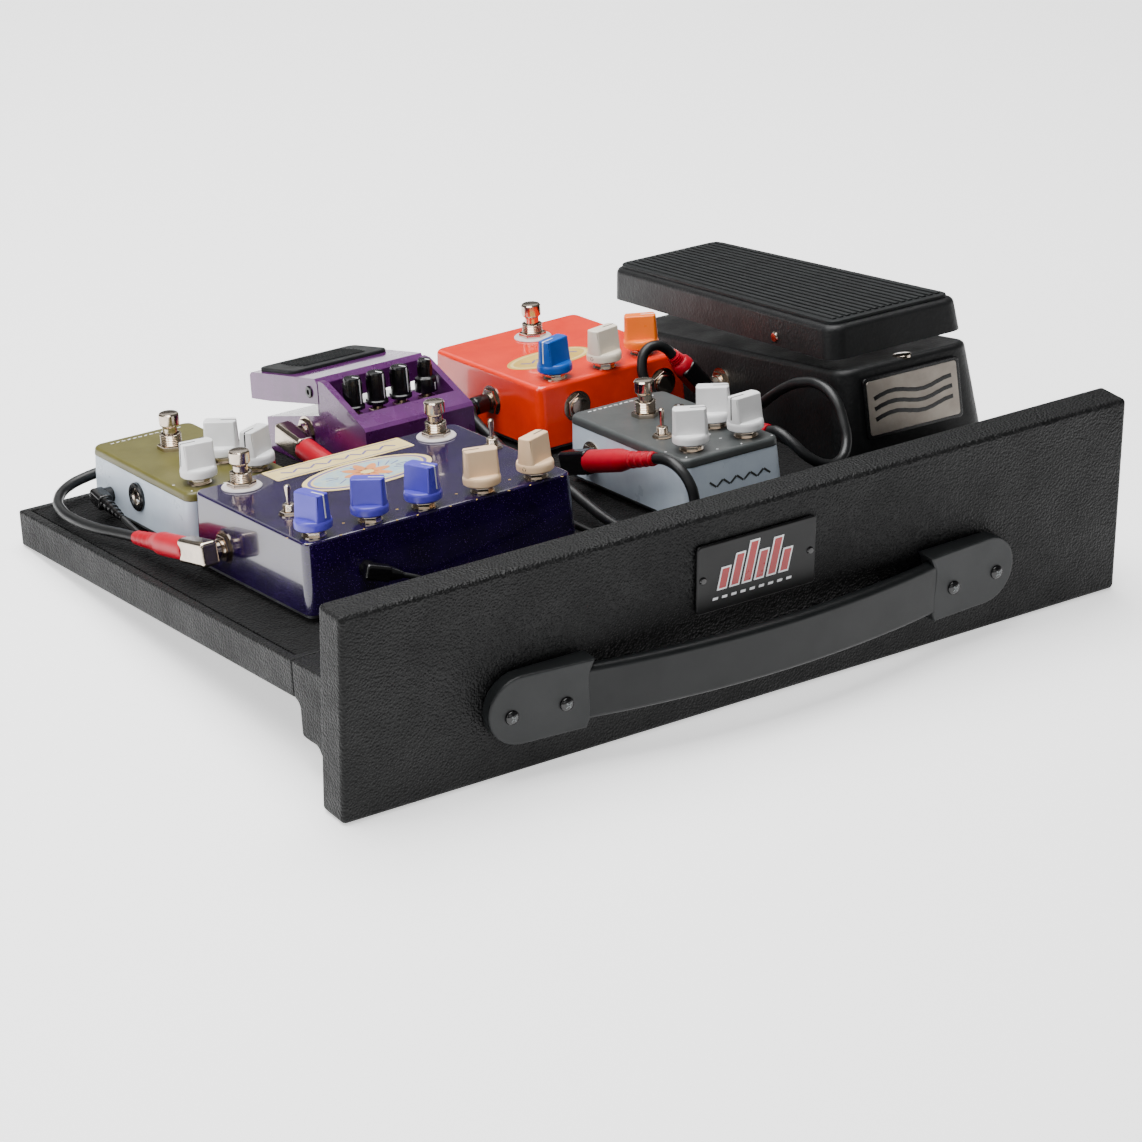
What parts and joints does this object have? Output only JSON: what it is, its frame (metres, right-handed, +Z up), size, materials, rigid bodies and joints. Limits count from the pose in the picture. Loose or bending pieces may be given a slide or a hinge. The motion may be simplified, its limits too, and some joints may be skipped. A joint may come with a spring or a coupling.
{
  "type": "guitar pedalboard",
  "caption": "Pedalboard with a sloping carpeted deck behind a handled front panel, carrying stomp boxes, a treadle pedal and a rocker pedal joined by patch cords.",
  "frame": {"origin": "middle of the base on the floor, without the plugs and cords", "axes": "+X along the front panel to the right as seen from the front, +Y to the back, +Z up"},
  "size_m": [0.51, 0.4342, 0.1338],
  "materials": {
    "vinyl": "pebbled black vinyl over plywood",
    "carpet": "black loop-pile carpet",
    "cap_plastic": "satin dark grey moulding",
    "grip_plastic": "smooth black plastic grip",
    "plate_enamel": "black enamelled plate with a plain silver border",
    "cover_metal": "bare sheet",
    "purple_gloss": "glossy purple with fine flake",
    "olive_and_white": "satin olive top over pale blue-white sides",
    "grey_and_white": "satin grey top over pale blue-white sides",
    "orange_gloss": "glossy orange",
    "violet_metallic": "violet metallic paint",
    "knob_black": "glossy black with a white line",
    "nickel": "bright nickel",
    "wrinkle_black": "black wrinkle paint on a casting",
    "rubber": "ribbed black rubber",
    "badge_metal": "silver badge with a black border",
    "boot_red": "crimson boot on a plated housing",
    "cord_black": "black cable jacket",
    "knob_violet_blue": "violet-blue with a white line",
    "knob_cream": "cream with a brown line",
    "knob_white": "white with a black line",
    "knob_blue": "bright blue with a white line",
    "knob_orange": "bright orange with a white line"
  },
  "bodies": {
    "root": {"deck_board": "vinyl", "deck_carpet": "carpet", "left_bracket": "vinyl", "right_bracket": "vinyl", "delay_enclosure": "purple_gloss", "delay_bottom_cover": "cover_metal", "drive_enclosure": "olive_and_white", "drive_bottom_cover": "cover_metal", "fuzz_enclosure": "orange_gloss", "fuzz_bottom_cover": "cover_metal", "boost_enclosure": "grey_and_white", "boost_bottom_cover": "cover_metal", "compact_base": "violet_metallic", "compact_hinge_pin": "nickel", "rocker_base": "wrinkle_black", "rocker_pivot_pin": "nickel", "rocker_badge": "badge_metal", "delay_output_plug": "boot_red", "compact_output_plug": "boot_red", "boost_output_plug": "boot_red", "boost_input_plug": "boot_red", "rocker_output_plug": "boot_red", "delay_to_drive_cord": "cord_black", "boost_to_delay_cord": "cord_black", "compact_to_fuzz_cord": "cord_black", "rocker_to_boost_cord": "cord_black", "front_panel": "vinyl", "handle_grip": "grip_plastic", "handle_end_left": "cap_plastic", "handle_end_right": "cap_plastic", "name_plate": "plate_enamel"},
    "delay_knob_1": {"delay_knob_1": "knob_violet_blue"},
    "delay_knob_2": {"delay_knob_2": "knob_violet_blue"},
    "delay_knob_3": {"delay_knob_3": "knob_violet_blue"},
    "delay_knob_4": {"delay_knob_4": "knob_cream"},
    "delay_knob_5": {"delay_knob_5": "knob_cream"},
    "delay_footswitch_left": {"delay_footswitch_left": "nickel"},
    "delay_footswitch_right": {"delay_footswitch_right": "nickel"},
    "delay_toggle_left": {"delay_toggle_left": "nickel"},
    "delay_toggle_right": {"delay_toggle_right": "nickel"},
    "drive_knob_1": {"drive_knob_1": "knob_white"},
    "drive_knob_2": {"drive_knob_2": "knob_white"},
    "drive_knob_3": {"drive_knob_3": "knob_white"},
    "drive_footswitch": {"drive_footswitch": "nickel"},
    "fuzz_knob_1": {"fuzz_knob_1": "knob_blue"},
    "fuzz_knob_2": {"fuzz_knob_2": "knob_white"},
    "fuzz_knob_3": {"fuzz_knob_3": "knob_orange"},
    "fuzz_footswitch": {"fuzz_footswitch": "nickel"},
    "boost_knob_1": {"boost_knob_1": "knob_white"},
    "boost_knob_2": {"boost_knob_2": "knob_white"},
    "boost_knob_3": {"boost_knob_3": "knob_white"},
    "boost_footswitch": {"boost_footswitch": "nickel"},
    "boost_toggle": {"boost_toggle": "nickel"},
    "compact_knob_1": {"compact_knob_1": "knob_black"},
    "compact_knob_2": {"compact_knob_2": "knob_black"},
    "compact_knob_3": {"compact_knob_3": "knob_black"},
    "compact_knob_4": {"compact_knob_4": "knob_black"},
    "compact_treadle": {"compact_treadle": "violet_metallic"},
    "rocker_treadle": {"rocker_treadle": "wrinkle_black", "rocker_tread_pad": "rubber"}
  },
  "joints": [
    {"name": "delay_knob_1_turn", "type": "hinge", "parent": "root", "child": "delay_knob_1", "pos_m": [-0.19509, -0.06454, 0.10213], "axis": [0, 0.1219, 0.9925], "range_deg": [-150, 150]},
    {"name": "delay_knob_2_turn", "type": "hinge", "parent": "root", "child": "delay_knob_2", "pos_m": [-0.16039, -0.06462, 0.10214], "axis": [0, 0.1219, 0.9925], "range_deg": [-150, 150]},
    {"name": "delay_knob_3_turn", "type": "hinge", "parent": "root", "child": "delay_knob_3", "pos_m": [-0.12738, -0.06522, 0.10222], "axis": [0, 0.1219, 0.9925], "range_deg": [-150, 150]},
    {"name": "delay_knob_4_turn", "type": "hinge", "parent": "root", "child": "delay_knob_4", "pos_m": [-0.09037, -0.06577, 0.10228], "axis": [0, 0.1219, 0.9925], "range_deg": [-150, 150]},
    {"name": "delay_knob_5_turn", "type": "hinge", "parent": "root", "child": "delay_knob_5", "pos_m": [-0.05607, -0.06586, 0.10229], "axis": [0, 0.1219, 0.9925], "range_deg": [-150, 150]},
    {"name": "delay_footswitch_left_press", "type": "slide", "parent": "root", "child": "delay_footswitch_left", "axis": [0, -0.1219, -0.9925], "range_m": [0, 0.0025], "stiffness_N_per_m": 800, "springref_m": -0.004},
    {"name": "delay_footswitch_right_press", "type": "slide", "parent": "root", "child": "delay_footswitch_right", "axis": [0, -0.1219, -0.9925], "range_m": [0, 0.0025], "stiffness_N_per_m": 800, "springref_m": -0.004},
    {"name": "delay_toggle_left_flip", "type": "hinge", "parent": "root", "child": "delay_toggle_left", "pos_m": [-0.18816, -0.02621, 0.09682], "axis": [0.9999, 0.0119, -0.0015], "range_deg": [-12, 12]},
    {"name": "delay_toggle_right_flip", "type": "hinge", "parent": "root", "child": "delay_toggle_right", "pos_m": [-0.04678, -0.00726, 0.09449], "axis": [0.9999, 0.0119, -0.0015], "range_deg": [-12, 12]},
    {"name": "drive_knob_1_turn", "type": "hinge", "parent": "root", "child": "drive_knob_1", "pos_m": [-0.18951, 0.07229, 0.07848], "axis": [0, 0.1219, 0.9925], "range_deg": [-150, 150]},
    {"name": "drive_knob_2_turn", "type": "hinge", "parent": "root", "child": "drive_knob_2", "pos_m": [-0.16074, 0.09691, 0.07546], "axis": [0, 0.1219, 0.9925], "range_deg": [-150, 150]},
    {"name": "drive_knob_3_turn", "type": "hinge", "parent": "root", "child": "drive_knob_3", "pos_m": [-0.15363, 0.07046, 0.07871], "axis": [0, 0.1219, 0.9925], "range_deg": [-150, 150]},
    {"name": "drive_footswitch_press", "type": "slide", "parent": "root", "child": "drive_footswitch", "axis": [0, -0.1219, -0.9925], "range_m": [0, 0.0025], "stiffness_N_per_m": 800, "springref_m": -0.004},
    {"name": "fuzz_knob_1_turn", "type": "hinge", "parent": "root", "child": "fuzz_knob_1", "pos_m": [0.05503, 0.08415, 0.08116], "axis": [0, 0.1219, 0.9925], "range_deg": [-150, 150]},
    {"name": "fuzz_knob_2_turn", "type": "hinge", "parent": "root", "child": "fuzz_knob_2", "pos_m": [0.08842, 0.08163, 0.08146], "axis": [0, 0.1219, 0.9925], "range_deg": [-150, 150]},
    {"name": "fuzz_knob_3_turn", "type": "hinge", "parent": "root", "child": "fuzz_knob_3", "pos_m": [0.11925, 0.08798, 0.08069], "axis": [0, 0.1219, 0.9925], "range_deg": [-150, 150]},
    {"name": "fuzz_footswitch_press", "type": "slide", "parent": "root", "child": "fuzz_footswitch", "axis": [0, -0.1219, -0.9925], "range_m": [0, 0.0025], "stiffness_N_per_m": 800, "springref_m": -0.004},
    {"name": "boost_knob_1_turn", "type": "hinge", "parent": "root", "child": "boost_knob_1", "pos_m": [0.04032, -0.07594, 0.0992], "axis": [0, 0.1219, 0.9925], "range_deg": [-150, 150]},
    {"name": "boost_knob_2_turn", "type": "hinge", "parent": "root", "child": "boost_knob_2", "pos_m": [0.07652, -0.07747, 0.09939], "axis": [0, 0.1219, 0.9925], "range_deg": [-150, 150]},
    {"name": "boost_knob_3_turn", "type": "hinge", "parent": "root", "child": "boost_knob_3", "pos_m": [0.07332, -0.05165, 0.09622], "axis": [0, 0.1219, 0.9925], "range_deg": [-150, 150]},
    {"name": "boost_footswitch_press", "type": "slide", "parent": "root", "child": "boost_footswitch", "axis": [0, -0.1219, -0.9925], "range_m": [0, 0.0025], "stiffness_N_per_m": 800, "springref_m": -0.004},
    {"name": "boost_toggle_flip", "type": "hinge", "parent": "root", "child": "boost_toggle", "pos_m": [0.04094, -0.04713, 0.09506], "axis": [1, -0.004, 0.0005], "range_deg": [-12, 12]},
    {"name": "compact_knob_1_turn", "type": "hinge", "parent": "root", "child": "compact_knob_1", "pos_m": [-0.0645, 0.11338, 0.06951], "axis": [0, 0.1219, 0.9925], "range_deg": [-150, 150]},
    {"name": "compact_knob_2_turn", "type": "hinge", "parent": "root", "child": "compact_knob_2", "pos_m": [-0.0487, 0.11338, 0.06951], "axis": [0, 0.1219, 0.9925], "range_deg": [-150, 150]},
    {"name": "compact_knob_3_turn", "type": "hinge", "parent": "root", "child": "compact_knob_3", "pos_m": [-0.0327, 0.11338, 0.06951], "axis": [0, 0.1219, 0.9925], "range_deg": [-150, 150]},
    {"name": "compact_knob_4_turn", "type": "hinge", "parent": "root", "child": "compact_knob_4", "pos_m": [-0.0153, 0.11338, 0.06951], "axis": [0, 0.1219, 0.9925], "range_deg": [-150, 150]},
    {"name": "compact_treadle_press", "type": "hinge", "parent": "root", "child": "compact_treadle", "pos_m": [-0.0395, 0.1454, 0.07585], "axis": [1, 0, 0], "range_deg": [-3, 0], "stiffness_Nm_per_rad": 4, "springref_deg": 6.88},
    {"name": "rocker_treadle_rock", "type": "hinge", "parent": "root", "child": "rocker_treadle", "pos_m": [0.20373, 0.00599, 0.10556], "axis": [0.9998, -0.0218, 0.0027], "range_deg": [-4.5, 4.5]}
  ]
}
